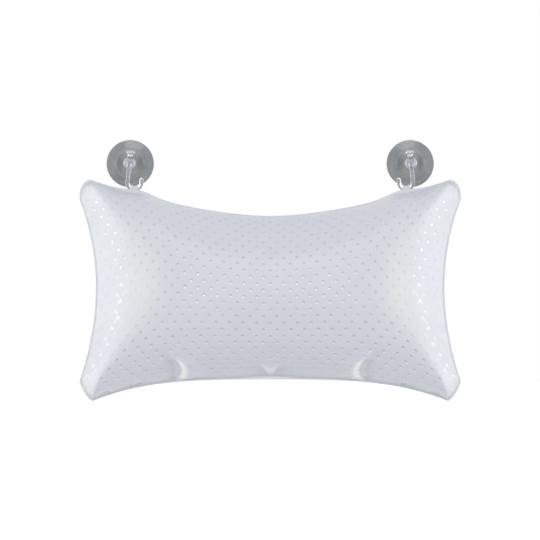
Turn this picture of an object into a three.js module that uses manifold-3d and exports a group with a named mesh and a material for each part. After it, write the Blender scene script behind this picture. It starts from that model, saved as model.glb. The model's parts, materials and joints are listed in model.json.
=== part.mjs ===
// Bath pillow: a stuffed vinyl cushion that hangs by two loops from the hooks of two suction cups.
// Millimetres, +Z up. The wall is the plane y = 0 and the front faces -Y.
// The origin lies on the wall, midway between the two cups.

import * as THREE from 'three';
import { mergeVertices } from 'three/addons/utils/BufferGeometryUtils.js';
import Module from 'manifold-3d';

const wasm = await Module();
wasm.setup();

// Fits
const CLEARANCE = 0.3;
const WALL_GAP = 0.3;

// Suction cups, with heights measured from the wall
const CUP_SPACING = 236.7;
const CUP_DIAMETER = 40;
const CUP_LAND = 2;
const CUP_HOLLOW = 4.2;
const CUP_EDGE = 1.2;
const CUP_LIP_WIDTH = 6.8;
const CUP_LIP_HEIGHT = 3.2;
const CUP_DOME_HEIGHT = 7.4;
const CUP_DOME_ROUND = 1.5;
const KNOB_DIAMETER = 10.6;
const KNOB_NECK_DIAMETER = 9.2;
const KNOB_CROWN = 2.6;

// Hooks
const HOOK_STANDOFF = 12;
const HOOK_LEAN = THREE.MathUtils.degToRad(6.1);
const ROD_DIAMETER = 3.6;
const BEND_RADIUS = 5.8;
const SHANK_LENGTH = 15.7;
const TIP_RISE = 4.6;
const HEAD_DIAMETER = 8.4;
const HEAD_HEIGHT = 5.4;
const HEAD_NECK_DIAMETER = 5.2;
const HEAD_BRIM_HEIGHT = 2.6;

// Cushion, in a frame of its own that has the line of the two bends as its X axis
const PILLOW_TILT = THREE.MathUtils.degToRad(14);
const TOP_WIDTH = 340.6;
const BOTTOM_WIDTH = 334.3;
const WAIST_WIDTH = 289.7;
const MIDDLE_HEIGHT = 139.2;
const MIDDLE_DROP = 24.8;
const TOP_CORNER_RISE = 38.8;
const BOTTOM_CORNER_DROP = 28.6;
const HOOK_LIFT = 4;
const HOOK_LIFT_REACH = 11;
const TOP_CORNER_CUT = 16.7;
const BOTTOM_CORNER_CUT = 18;
const FRONT_DEPTH = 47.2;
const BACK_DEPTH = 41.3;
const SHEET = 0.6;
const FLANGE_WIDTH = 2.4;

// Hanging loops, with room round the rod for the hook to turn and the pillow to swing
const LOOP_WIDTH = 6;
const LOOP_SLACK = 1.2;

// Powers of the outline's curves, and the swell of the two panels: end ramps that bend over into a level middle
const TOP_POWER = 1.7;
const BOTTOM_POWER = 3.3;
const SIDE_POWER = 2;
const TOP_CORNER_POWER = 1.35;
const BOTTOM_CORNER_POWER = 1.12;
const RAMP_SLOPE = 3.1;
const RAMP_TOP_STEEPER = 9.5;
const RAMP_BOTTOM_STEEPER = 7.4;
const RAMP_KNEE = 2.35;
const RAMP_SHARPER = 1.75;
const SWELL_POWER = 0.54;

// Facets
const CUP_SIDES = 36;
const PROFILE_STEPS = 5;
const ROD_SIDES = 12;
const ROD_STEPS = 34;
const HEAD_SIDES = 20;
const TIP_RINGS = 8;
const COLUMNS = 28;
const ROWS = 16;
const FILLING_RINGS = 2;
const LOOP_COLUMNS = 6;
const ARCH_STEPS = 10;
const MERGE = 1e-4;
const SLOPE_STEP = 1e-4;
const HALVINGS = 40;

// Values that follow from the sizes above
const rodRadius = ROD_DIAMETER / 2;
const holeRadius = rodRadius + CLEARANCE;
const knobRadius = KNOB_DIAMETER / 2;
const hookSeat = knobRadius + CLEARANCE;
const bendX = BEND_RADIUS * Math.cos(HOOK_LEAN) - SHANK_LENGTH * Math.sin(HOOK_LEAN);
const bendZ = -BEND_RADIUS * Math.sin(HOOK_LEAN) - SHANK_LENGTH * Math.cos(HOOK_LEAN);
const loopX = CUP_SPACING / 2 - bendX;
const hinge = new THREE.Vector3(0, -HOOK_STANDOFF, bendZ - BEND_RADIUS);
const loopFront = rodRadius + LOOP_SLACK + bendRise(LOOP_WIDTH / 2);
const loopBack = rodRadius + LOOP_SLACK;
const flangeHalf = SHEET + CLEARANCE / 2;
const seamY = -(loopFront + SHEET + CLEARANCE + flangeHalf);
const halfHeight = MIDDLE_HEIGHT / 2;
const middleZ = -MIDDLE_DROP - halfHeight;
const FRONT = -1;
const BACK = 1;

const vinyl = new THREE.MeshStandardMaterial({ color: 0xe6e7ee, roughness: 0.42, metalness: 0 });
const fibre = new THREE.MeshStandardMaterial({ color: 0xf4f2ec, roughness: 0.95, metalness: 0 });
const softClear = new THREE.MeshStandardMaterial({ color: 0x9aa0a3, roughness: 0.18, metalness: 0 });
const hardClear = new THREE.MeshStandardMaterial({ color: 0xe3e8ea, roughness: 0.08, metalness: 0 });

// Closed solid of a geometry: doubled vertices are merged and triangles with no area are dropped
function solidOf(geometry) {
  const bare = geometry.clone();
  bare.deleteAttribute('normal');
  bare.deleteAttribute('uv');
  const merged = mergeVertices(bare, MERGE);
  const corners = Array.from(merged.index.array);
  const triVerts = [];
  for (let i = 0; i < corners.length; i += 3) {
    const [a, b, c] = corners.slice(i, i + 3);
    if (a !== b && b !== c && c !== a) triVerts.push(a, b, c);
  }
  const vertProperties = new Float32Array(merged.attributes.position.array);
  return new wasm.Manifold(new wasm.Mesh({ numProp: 3, vertProperties, triVerts: new Uint32Array(triVerts) }));
}

function geometryOf(solid) {
  const { vertProperties, triVerts } = solid.getMesh();
  const geometry = new THREE.BufferGeometry();
  geometry.setAttribute('position', new THREE.BufferAttribute(new Float32Array(vertProperties), 3));
  geometry.setIndex(new THREE.BufferAttribute(new Uint32Array(triVerts), 1));
  geometry.computeVertexNormals();
  return geometry;
}

// Closed body between two grids of points: the first has its rows times its columns pointing out
function bodyBetween(outer, inner) {
  const rows = outer.length;
  const columns = outer[0].length;
  const at = (side, i, j) => (side * rows + i) * columns + j;
  const corners = [];
  const quad = (a, b, c, d) => corners.push(a, b, c, a, c, d);
  for (let i = 0; i < rows - 1; i++) {
    for (let j = 0; j < columns - 1; j++) {
      quad(at(0, i, j), at(0, i + 1, j), at(0, i + 1, j + 1), at(0, i, j + 1));
      quad(at(1, i, j), at(1, i, j + 1), at(1, i + 1, j + 1), at(1, i + 1, j));
    }
  }
  const lastRow = rows - 1;
  const lastColumn = columns - 1;
  for (let i = 0; i < lastRow; i++) {
    quad(at(0, i, 0), at(1, i, 0), at(1, i + 1, 0), at(0, i + 1, 0));
    quad(at(0, i + 1, lastColumn), at(1, i + 1, lastColumn), at(1, i, lastColumn), at(0, i, lastColumn));
  }
  for (let j = 0; j < lastColumn; j++) {
    quad(at(0, 0, j + 1), at(1, 0, j + 1), at(1, 0, j), at(0, 0, j));
    quad(at(0, lastRow, j), at(1, lastRow, j), at(1, lastRow, j + 1), at(0, lastRow, j + 1));
  }
  const geometry = new THREE.BufferGeometry().setFromPoints([...outer.flat(), ...inner.flat()]);
  geometry.setIndex(corners);
  geometry.computeVertexNormals();
  return geometry;
}

// Suction cup turned about its axis: flat land, hollow underside, lip, dome and knob, with the shank's hole
function cupGeometry() {
  const rim = CUP_DIAMETER / 2;
  const dome = rim - CUP_LIP_WIDTH;
  const neck = KNOB_NECK_DIAMETER / 2;
  const crown = HOOK_STANDOFF + holeRadius + KNOB_CROWN;
  const profile = new THREE.Path();
  profile.moveTo(0, CUP_HOLLOW);
  profile.quadraticCurveTo(dome, CUP_HOLLOW, rim - CUP_LAND, 0);
  profile.lineTo(rim, 0);
  profile.lineTo(rim, CUP_EDGE);
  profile.lineTo(dome, CUP_LIP_HEIGHT);
  profile.quadraticCurveTo(dome - CUP_DOME_ROUND, CUP_DOME_HEIGHT, neck, CUP_DOME_HEIGHT);
  profile.lineTo(knobRadius, HOOK_STANDOFF - holeRadius);
  profile.lineTo(knobRadius, HOOK_STANDOFF + holeRadius);
  profile.quadraticCurveTo(knobRadius, crown, 0, crown);
  const turned = new THREE.LatheGeometry(profile.getPoints(PROFILE_STEPS), CUP_SIDES);
  turned.rotateX(Math.PI);
  const hole = new THREE.CylinderGeometry(holeRadius, holeRadius, 2 * KNOB_DIAMETER, ROD_SIDES);
  hole.rotateX(Math.PI / 2);
  hole.translate(0, -HOOK_STANDOFF, 0);
  return geometryOf(solidOf(turned).subtract(solidOf(hole)));
}

// Height above the hinge line at a distance to one side of a bend: of the rod's middle line and of its upper side
function bendRise(x) {
  return BEND_RADIUS - Math.sqrt(BEND_RADIUS ** 2 - x ** 2);
}

function rodTop(x) {
  return BEND_RADIUS - Math.sqrt((BEND_RADIUS - rodRadius) ** 2 - x ** 2);
}

// Middle line of the rod: down the shank on the Z axis, half round the bend and up to the tip
class HookLine extends THREE.Curve {
  getPoint(share, target = new THREE.Vector3()) {
    const start = hookSeat + HEAD_BRIM_HEIGHT;
    const shank = start + SHANK_LENGTH;
    const bend = Math.PI * BEND_RADIUS;
    const run = share * (shank + bend + TIP_RISE - rodRadius);
    if (run < shank) return target.set(0, 0, start - run);
    const angle = (run - shank) / BEND_RADIUS;
    if (angle > Math.PI) return target.set(2 * BEND_RADIUS, 0, run - shank - bend - SHANK_LENGTH);
    const across = BEND_RADIUS * (1 - Math.cos(angle));
    return target.set(across, 0, -SHANK_LENGTH - BEND_RADIUS * Math.sin(angle));
  }
}

// J hook with its shank on the Z axis: round rod, round tip, and a mushroom head that sits on the knob
function hookGeometry() {
  const section = new THREE.Shape().absarc(0, 0, rodRadius, 0, 2 * Math.PI);
  const rod = new THREE.ExtrudeGeometry(section, {
    steps: ROD_STEPS,
    curveSegments: ROD_SIDES,
    extrudePath: new HookLine(),
    bevelEnabled: false,
  });
  const tip = new THREE.SphereGeometry(rodRadius, ROD_SIDES, TIP_RINGS);
  tip.translate(2 * BEND_RADIUS, 0, TIP_RISE - rodRadius - SHANK_LENGTH);
  const brim = hookSeat + HEAD_BRIM_HEIGHT;
  const top = hookSeat + HEAD_HEIGHT;
  const profile = new THREE.Path();
  profile.moveTo(0, hookSeat);
  profile.lineTo(HEAD_NECK_DIAMETER / 2, hookSeat);
  profile.quadraticCurveTo(HEAD_NECK_DIAMETER / 2, brim, HEAD_DIAMETER / 2, brim);
  profile.quadraticCurveTo(HEAD_DIAMETER / 2, top, 0, top);
  const head = new THREE.LatheGeometry(profile.getPoints(PROFILE_STEPS), HEAD_SIDES);
  head.rotateX(Math.PI / 2);
  return geometryOf(solidOf(rod).add(solidOf(tip)).add(solidOf(head)));
}

// Half the cushion's width at a height, from -1 at its bottom to 1 at its top
function halfWidth(v) {
  const corner = v > 0 ? TOP_WIDTH / 2 : BOTTOM_WIDTH / 2;
  return WAIST_WIDTH / 2 + (corner - WAIST_WIDTH / 2) * Math.abs(v) ** SIDE_POWER;
}

// Top edge: lowest in the middle, rising to the corners, and pulled up beside each hook
function topEdge(u) {
  const besideHook = Math.abs(u) * (TOP_WIDTH / 2) - (loopX - BEND_RADIUS);
  const pull = HOOK_LIFT * Math.exp(-((besideHook / HOOK_LIFT_REACH) ** 2) / 2);
  return -MIDDLE_DROP + TOP_CORNER_RISE * Math.abs(u) ** TOP_POWER + pull;
}

// Bottom edge: level in the middle and falling to the corners
function bottomEdge(u) {
  return -MIDDLE_DROP - MIDDLE_HEIGHT - BOTTOM_CORNER_DROP * Math.abs(u) ** BOTTOM_POWER;
}

// Cuts the four corners of the square of u and v. A power of 1 cuts straight, and 2 rounds to a quarter of a disc.
function cutCorner(u, v) {
  const cut = v > 0 ? TOP_CORNER_CUT : BOTTOM_CORNER_CUT;
  const power = v > 0 ? TOP_CORNER_POWER : BOTTOM_CORNER_POWER;
  const nearSide = Math.max(0, 1 - (1 - Math.abs(u)) * (WAIST_WIDTH / 2) / cut);
  const nearEdge = Math.max(0, 1 - (1 - Math.abs(v)) * halfHeight / cut);
  const inU = cut * nearSide * (1 - (1 - nearEdge ** power / 2) ** (1 / power));
  const inV = cut * nearEdge * (1 - (1 - nearSide ** power / 2) ** (1 / power));
  return { u: u - Math.sign(u) * inU / (WAIST_WIDTH / 2), v: v - Math.sign(v) * inV / halfHeight };
}

// Point of the cushion's outline sheet for u and v from -1 to 1: drawn-in sides and cut corners
function sheetPoint(u, v) {
  const inside = cutCorner(u, v);
  const low = bottomEdge(inside.u);
  const z = low + (topEdge(inside.u) - low) * (inside.v + 1) / 2;
  return new THREE.Vector2(inside.u * halfWidth(inside.v), z);
}

// Share of the full depth that a panel swells to: none at the seam, most in the middle
function swell(u, v) {
  const steeper = v > 0 ? RAMP_TOP_STEEPER : RAMP_BOTTOM_STEEPER;
  const ramp = (RAMP_SLOPE + steeper * v ** 2) * (1 - Math.abs(u));
  const knee = RAMP_KNEE + RAMP_SHARPER * v ** 2;
  return ramp / (1 + ramp ** knee) ** (1 / knee) * (1 - v ** 2) ** SWELL_POWER;
}

// Outer face of a panel inside its seam; the back lies flat where it would go through the wall
function panelPoint(side, u, v) {
  const sheet = sheetPoint(u, v);
  const x = sheet.x * (1 - FLANGE_WIDTH / (WAIST_WIDTH / 2));
  const z = middleZ + (sheet.y - middleZ) * (1 - FLANGE_WIDTH / halfHeight);
  const depth = side === FRONT ? FRONT_DEPTH : BACK_DEPTH;
  const y = seamY + side * (flangeHalf + depth * swell(u, v));
  const reach = hinge.y + y * Math.cos(PILLOW_TILT) + z * Math.sin(PILLOW_TILT);
  const press = Math.max(0, reach + WALL_GAP);
  return new THREE.Vector3(x, y - press * Math.cos(PILLOW_TILT), z - press * Math.sin(PILLOW_TILT));
}

// Direction out of a panel, from the slopes of its face; along its seam it is that of the flange
function panelNormal(side, u, v) {
  if (Math.abs(u) === 1 || Math.abs(v) === 1) return new THREE.Vector3(0, side, 0);
  const alongU = panelPoint(side, u + SLOPE_STEP, v).sub(panelPoint(side, u - SLOPE_STEP, v));
  const alongV = panelPoint(side, u, v + SLOPE_STEP).sub(panelPoint(side, u, v - SLOPE_STEP));
  return alongV.cross(alongU).multiplyScalar(side).normalize();
}

// Point at a depth below the outer face of a panel
function underPanel(side, u, v, depth) {
  return panelPoint(side, u, v).addScaledVector(panelNormal(side, u, v), -depth);
}

// Even steps from -1 to 1 that close up towards both ends
function spread(index, count) {
  return Math.sin((Math.PI / 2) * (2 * index / count - 1));
}

// Grid of one face of a panel with the flange as its outermost ring
function panelGrid(side, depth) {
  const grid = [];
  for (let i = 0; i <= ROWS + 2; i++) {
    const v = spread(THREE.MathUtils.clamp(i - 1, 0, ROWS), ROWS);
    const row = [];
    for (let j = 0; j <= COLUMNS + 2; j++) {
      const u = spread(THREE.MathUtils.clamp(j - 1, 0, COLUMNS), COLUMNS);
      const edge = sheetPoint(u, v);
      const onFlange = i === 0 || j === 0 || i === ROWS + 2 || j === COLUMNS + 2;
      const flange = new THREE.Vector3(edge.x, seamY + side * (flangeHalf - depth), edge.y);
      row.push(onFlange ? flange : underPanel(side, u, v, depth));
    }
    grid.push(row);
  }
  return grid;
}

function frontCoverGeometry() {
  return bodyBetween(panelGrid(FRONT, SHEET), panelGrid(FRONT, 0));
}

function backCoverGeometry() {
  return bodyBetween(panelGrid(BACK, 0), panelGrid(BACK, SHEET));
}

// Filling: both panels' inner faces, a clearance further in, ended short of the seam
function fillingGeometry() {
  const face = (side) => {
    const grid = [];
    for (let i = FILLING_RINGS; i <= ROWS - FILLING_RINGS; i++) {
      const row = [];
      for (let j = FILLING_RINGS; j <= COLUMNS - FILLING_RINGS; j++) {
        row.push(underPanel(side, spread(j, COLUMNS), spread(i, ROWS), SHEET + CLEARANCE));
      }
      grid.push(row);
    }
    return grid;
  };
  return bodyBetween(face(BACK), face(FRONT));
}

// Height of the back panel's outer face behind the top seam, found by halving
function backPanelHeight(x, y) {
  let low = 0;
  let high = 1;
  for (let i = 0; i < HALVINGS; i++) {
    const v = (low + high) / 2;
    if (panelPoint(BACK, x / halfWidth(v), v).y > y) low = v;
    else high = v;
  }
  return panelPoint(BACK, x / halfWidth(low), low).z;
}

// Strap over the bend of a hook: up behind the seam flange, over the rod, and down to the back panel
function loopGeometry(centreX) {
  const face = (offset) => {
    const front = -(loopFront + offset);
    const back = loopBack + offset;
    const column = (across) => {
      const top = rodTop(across) + 2 * CLEARANCE + offset;
      const x = centreX + across;
      const points = [new THREE.Vector3(x, front, backPanelHeight(x, front) + CLEARANCE)];
      for (let k = 0; k <= ARCH_STEPS; k++) {
        const angle = Math.PI * k / ARCH_STEPS;
        const y = (front + back) / 2 - ((back - front) / 2) * Math.cos(angle);
        points.push(new THREE.Vector3(x, y, top * Math.sin(angle)));
      }
      points.push(new THREE.Vector3(x, back, backPanelHeight(x, back) + CLEARANCE));
      return points;
    };
    const columns = [];
    for (let j = 0; j <= LOOP_COLUMNS; j++) columns.push(column(LOOP_WIDTH * (j / LOOP_COLUMNS - 0.5)));
    return columns[0].map((_, i) => columns.map((points) => points[i]));
  };
  return bodyBetween(face(0), face(SHEET));
}

function piece(name, geometry, material) {
  const mesh = new THREE.Mesh(geometry, material);
  mesh.name = name;
  return mesh;
}

// Cup with its hook, leaning so that the shank's foot stands outwards and the bend turns inwards
function hanger(name, side) {
  const group = new THREE.Group();
  group.position.set(side * CUP_SPACING / 2, 0, 0);
  group.rotation.y = -side * HOOK_LEAN;
  const cup = piece(`suction_cup_${name}`, cupGeometry(), softClear);
  const hook = piece(`hook_${name}`, hookGeometry(), hardClear);
  hook.position.y = -HOOK_STANDOFF;
  hook.rotation.z = side < 0 ? 0 : Math.PI;
  group.add(cup, hook);
  return group;
}

function pillow() {
  const group = new THREE.Group();
  group.position.copy(hinge);
  group.rotation.x = -PILLOW_TILT;
  group.add(piece('front_cover', frontCoverGeometry(), vinyl));
  group.add(piece('back_cover', backCoverGeometry(), vinyl));
  group.add(piece('filling', fillingGeometry(), fibre));
  group.add(piece('hanging_loop_left', loopGeometry(-loopX), vinyl));
  group.add(piece('hanging_loop_right', loopGeometry(loopX), vinyl));
  return group;
}

const bathPillow = new THREE.Group();
bathPillow.add(hanger('left', -1), hanger('right', 1), pillow());

export default bathPillow;
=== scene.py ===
"""Looks of a bath pillow: an embossed white vinyl cushion hung from two clear suction-cup hooks.

Metres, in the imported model's frame: +Z up, the wall is y = 0 and the front faces -Y.
"""

import json
import math

import bmesh
import bpy
import numpy as np
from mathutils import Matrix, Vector


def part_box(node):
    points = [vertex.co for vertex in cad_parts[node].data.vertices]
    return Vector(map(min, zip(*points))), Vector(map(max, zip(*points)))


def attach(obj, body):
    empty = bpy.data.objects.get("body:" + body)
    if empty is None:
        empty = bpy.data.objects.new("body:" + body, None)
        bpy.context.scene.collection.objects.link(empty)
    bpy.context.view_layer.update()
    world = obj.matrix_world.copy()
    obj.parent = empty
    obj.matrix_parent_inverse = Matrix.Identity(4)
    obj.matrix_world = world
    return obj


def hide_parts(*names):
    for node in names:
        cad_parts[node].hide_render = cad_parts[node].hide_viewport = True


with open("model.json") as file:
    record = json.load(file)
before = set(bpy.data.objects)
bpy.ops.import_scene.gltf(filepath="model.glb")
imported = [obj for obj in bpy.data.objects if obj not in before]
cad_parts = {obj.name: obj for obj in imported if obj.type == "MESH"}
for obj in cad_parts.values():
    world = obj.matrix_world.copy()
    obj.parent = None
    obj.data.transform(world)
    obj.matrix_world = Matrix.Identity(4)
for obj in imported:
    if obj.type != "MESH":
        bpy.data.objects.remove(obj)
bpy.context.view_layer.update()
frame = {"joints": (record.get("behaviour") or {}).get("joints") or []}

# Camera: a straight front view, with the wall's plane filling the photo at this scale
PHOTO_SIDE = 540
PIXEL = 0.0008457
PHOTO_MIDDLE_X = 270.2
PHOTO_CUP_Y = 163.7
CAMERA_DISTANCE = 2.2
SENSOR = 36.0

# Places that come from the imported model
SWING = next(j for j in frame["joints"] if j["name"] == "pillow_swing")
HINGE = np.array(SWING["pos_m"])
CUP_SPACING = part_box("suction_cup_right")[0][0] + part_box("suction_cup_right")[1][0]

# Cushion, in a frame of its own with the line of the two hook bends as its X axis
PILLOW_TILT = math.radians(14)
TOP_WIDTH = 0.3406
BOTTOM_WIDTH = 0.3343
WAIST_WIDTH = 0.2897
MIDDLE_HEIGHT = 0.1392
MIDDLE_DROP = 0.0248
HALF_WAIST = WAIST_WIDTH / 2
HALF_HEIGHT = MIDDLE_HEIGHT / 2
MIDDLE_Z = -MIDDLE_DROP - HALF_HEIGHT
TOP_CORNER_RISE = 0.0388
BOTTOM_CORNER_DROP = 0.0286
HOOK_LIFT = 0.0040
HOOK_LIFT_REACH = 0.011
TOP_CORNER_CUT = 0.0167
BOTTOM_CORNER_CUT = 0.018
TOP_CORNER_POWER = 1.35
BOTTOM_CORNER_POWER = 1.12
TOP_POWER = 1.7
BOTTOM_POWER = 3.3
SIDE_POWER = 2.0
RAMP_SLOPE = 3.7
RAMP_TOP_STEEPER = 7.5
RAMP_BOTTOM_STEEPER = 5.3
RAMP_KNEE = 2.0
RAMP_SHARPER = 3.0
SWELL_EDGES = 0.5
FRONT_DEPTH = 0.045
BACK_DEPTH = 0.039
SHEET = 0.0006
FLANGE_WIDTH = 0.0016
SEAM_Y = -0.0055
WALL_GAP = 0.0003
FRONT = -1
BACK = 1

# Stuffing by cloth simulation with its weld pinned, and no point moved further than the cap
SIM_COLUMNS = 97
SIM_ROWS = 57
SIM_FRAMES = 20
SIM_CAP = 0.006
SIM_WELD = "weld"
SIM_SETTINGS = {
    "quality": 6,
    "mass": 0.3,
    "tension_stiffness": 40,
    "compression_stiffness": 40,
    "shear_stiffness": 20,
    "bending_stiffness": 1.5,
    "vertex_group_mass": SIM_WELD,
    "use_pressure": True,
    "uniform_pressure_force": 4.0,
    "shrink_min": -0.003,
}

# Embossing: staggered diamond pits, each with two steep walls that meet at the top and a flat floor that
# comes up to the sheet at the lowest corner. A lattice step goes from a pit to the next one on the diagonal,
# and the places of the pit's rim, walls and floor are shares of it.
PIT_PITCH = 0.0107
PIT_ROW = 0.0054
PIT_DEPTH = 0.0006
PIT_RIM = 0.17
PIT_FOOT = 0.07
PIT_BRINK = 0.15
PIT_LOWER = -0.12
PIT_MARGIN = 0.005
LATTICE_LINES = (-0.33, -PIT_RIM, PIT_LOWER, 0.0, PIT_FOOT, PIT_BRINK, PIT_RIM, 0.33, 0.5)
PIT_SEAM_FADE = 0.004
PIT_DEPTH_ASIDE = 0.4
PIT_DEPTH_FADE = (0.3, 0.6)

# Grids of the covers: samples for lengths along the sheet, the step for slopes, and the plain inner face,
# which lies a share of the sheet outside the stuffed grid at the weld
ARC_SAMPLES = 4001
SLOPE_STEP = 0.002
INNER_COLUMNS = 61
INNER_ROWS = 33
INNER_SHIFT = 0.05

# Painted light and shade of the pits: painted shade on the walls at each slope of the sheet, a band of floors
# with painted glints at one slope, floors painted a little lighter where the sheet looks down, and a line of
# painted glints along the ridge at each end. A pair named FADE is where something starts to fade and where it
# has gone.
PIT_SLOPES = (-0.6, -0.1, 0.3, 0.7)
PIT_WALL_PAINTED_SHADES = (0.6, 0.62, 0.38, 0.24)
PIT_SHADE_ASIDE = 0.35
PIT_SHADE_FADE = (0.2, 0.5)
BAND_SLOPE = 0.27
BAND_WIDTH = 0.13
BAND_PAINTED_GLINT = 0.75
BAND_FADE = (0.04, 0.22)
BELOW_PAINTED_LIGHT = 0.45
BELOW_FADE = (-0.4, 0.0)
RIDGE_MIDDLE = 0.86
RIDGE_UPPER = 0.12
RIDGE_LOWER = 0.15
RIDGE_WIDTH = 0.036
RIDGE_WALL_PAINTED_GLINT = 0.6
RIDGE_WALL_FADE = (-0.25, 0.2)

# Painted light before each ridge: its place and reach in u, and its fade in v
GLOW_AT = 0.73
GLOW_REACH = 0.10
GLOW_FADE = (0.1, 0.8)

# Weld and flange from the panel's edge outwards: share of the flange's width, height over the seam, and
# painted light, or painted shade where it is below 0; the weld itself gets painted shade, more where it is
# drawn in
FLANGE_PROFILE = (
    (0.3, 0.00025, 0.0),
    (0.6, 0.0006, 0.25),
    (0.9, 0.00062, 0.1),
    (1.0, 0.00045, -0.8),
    (1.0, 0.00003, -0.8),
)
WELD_PAINTED_SHADE = -0.15
LENS_WELD_PAINTED_SHADE = -0.3
WELD_REACH = 0.0007

# Folds of the front: a bowed tuck towards each end and a tongue-shaped dart in the middle, each with painted
# light on its wall and painted shade in its valley, and painted shade on the ears at the top corners, with
# heights along the sheet from the bottom weld, for the ears from the top weld
FOLD_EASE = 0.006
TUCK_MIDDLE = 0.0650
TUCK_BOW_HEIGHT = 0.011
TUCK_BOW_UPPER = 28.0
TUCK_BOW_LOWER = 21.0
TUCK_BREAK = (0.0215, 0.0275)
TUCK_FAINT = 0.35
TUCK_FADE = (0.032, 0.038)
TUCK_DEPTH = 0.0018
TUCK_RISE = 0.0020
TUCK_WALL = 0.0066
TUCK_FALL = 0.0070
TUCK_LIGHT_REACH = 0.45
TUCK_PAINTED_SHADE = 0.8
DART_HALF_WIDTH = 0.0008
DART_SPREAD = 0.42
DART_FADE = (0.009, 0.019)
DART_DEPTH = 0.0008
DART_RISE = 0.0009
DART_WALL = 0.0040
DART_FALL = 0.0090
DART_EDGE = 0.001
DART_PAINTED_LIGHT = 0.5
DART_PAINTED_SHADE = 0.5
EAR_MIDDLE = 0.141
EAR_SIZE = 0.018
EAR_FADE = (0.006, 0.026)
EAR_PAINTED_SHADE = -0.95

# Crinkled places of the front, with squiggles of painted shade: distance out from the middle, its reach,
# height from the weld, its reach
BOTTOM_CRINKLES = ((0.098, 0.007, 0.0030, 0.0022), (0.122, 0.005, 0.0030, 0.0022))
TOP_CRINKLES = ((0.122, 0.008, 0.0060, 0.0040), (0.141, 0.010, 0.0090, 0.0070))

# Places where the weld lies further in and the flange shows as a lens: reach along x and how far in. The
# bottom one gets painted light from a share of the flange's width outwards.
BOTTOM_LENS_REACH = 0.020
BOTTOM_LENS = 0.0018
TOP_LENS_AT = 0.112
TOP_LENS_REACH = 0.017
TOP_LENS = 0.0020
LENS_POWER = 8
LENS_PAINTED_LIGHT = 0.6
LENS_FROM = 0.5

# Hooks
HOOK_STANDOFF = -HINGE[1]
HOOK_LEAN = math.radians(6.1)
ROD_RADIUS = 0.0018
BEND_RADIUS = 0.0058
SHANK_LENGTH = 0.0157
TIP_RISE = 0.0046
HEAD_RADIUS = 0.0042
HEAD_NECK_RADIUS = 0.0026
HEAD_HEIGHT = 0.0054
HEAD_BRIM_HEIGHT = 0.0026
HEAD_BRIM_ROUND = 0.0004
HEAD_BRIM_UNDER = 0.0002
HEAD_BRIM_STEP = 0.0005
FIT = 0.0003
ROD_SIDES = 40
ROD_STEP = 0.0004
TIP_ROWS = 10

# Suction cups, with heights measured from the wall
CUP_RADIUS = 0.020
CUP_LAND = 0.002
CUP_LAND_ROUND = 0.0004
CUP_HOLLOW = 0.0042
CUP_EDGE = 0.0012
CUP_EDGE_ROUND = 0.0008
CUP_LIP_WIDTH = 0.0068
CUP_LIP_HEIGHT = 0.0032
CUP_LIP_SAG_WIDTH = 0.002
CUP_LIP_SAG_HEIGHT = 0.0024
CUP_DOME_HEIGHT = 0.0074
CUP_DOME_ROUND = 0.0015
KNOB_RADIUS = 0.0053
KNOB_NECK_RADIUS = 0.0046
KNOB_NECK_ROUND = 0.0008
KNOB_CROWN = 0.0026
CUP_SIDES = 160
DRILL_REACH = 0.012

# Hanging straps, and the part of the back panel, from a v up to 1, on which their ends are looked for
LOOP_X = CUP_SPACING / 2 - BEND_RADIUS * math.cos(HOOK_LEAN) + SHANK_LENGTH * math.sin(HOOK_LEAN)
STRAP_WIDTH = 0.0060
STRAP_ROOM = 0.0012
STRAP_LIFT = 0.00055
STRAP_COLUMNS = 17
STRAP_END_ROWS = 12
STRAP_ARCH_ROWS = 24
BACK_SEARCH_FROM = 0.3
BACK_SEARCH_STEPS = 2001

# Filling: depth under the covers, grid steps between it and the weld, and the room, in depths, below which
# it lies less deep
FILLING_DEPTH = 0.004
FILLING_INSET = 6
FILLING_TAPER = 4

# Limits for points that count as one and for lengths that count as none
LATTICE_DIGITS = 8
MERGE_DISTANCE = 1e-7
EDGE_TOLERANCE = 1e-6
NEAR = 1e-9
TINY = 1e-12

# Node group of the unevenness that the finishes share
PATCH_GROUP = "uneven_patches"
RANGE_INPUTS = ("From Min", "From Max", "To Min", "To Max")
PATCH_INPUTS = ("Scale", "Detail", *RANGE_INPUTS)

# Vinyl: colours, painted light and shade of the pits, folds and crinkles' squiggles, roughness, and the gleam
# of pits and folds. A pair of places for a mask, here and below, is where it starts and where it is full.
VINYL_COOL = (0.795, 0.81, 0.885)
VINYL_WARM = (0.81, 0.825, 0.865)
VINYL_BLUSH = (0.82, 0.805, 0.87)
# Painted light before the ridges
VINYL_PAINTED_GLOW = (0.865, 0.87, 0.88)
# Painted light and painted shade of the folds, ears, weld and flange
VINYL_PAINTED_LIGHT = (1.0, 1.0, 0.99)
VINYL_PAINTED_SHADE = (0.66, 0.66, 0.71)
# Painted glints on the pits' floors and painted shade on their walls
PIT_PAINTED_GLINT = (1.0, 1.0, 1.0)
PIT_PAINTED_SHADE = (0.52, 0.53, 0.59)
# Painted shade of the crinkles' squiggles
CRINKLE_PAINTED_SHADE = (0.45, 0.45, 0.53)
VINYL_BLUSH_MOST = 0.6
VINYL_ROUGHNESS = (0.36, 0.44)
PIT_POLISH = 0.28
FOLD_GLEAM_FROM = 0.2
FOLD_GLEAM = 0.7
VINYL_SHADER = {"Roughness": 0.34, "Coat IOR": 2.2, "Coat Roughness": 0.18}
CRINKLE_LINE = (0.09, 0.02)
CRINKLE_MASK = (0.1, 0.7)

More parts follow.
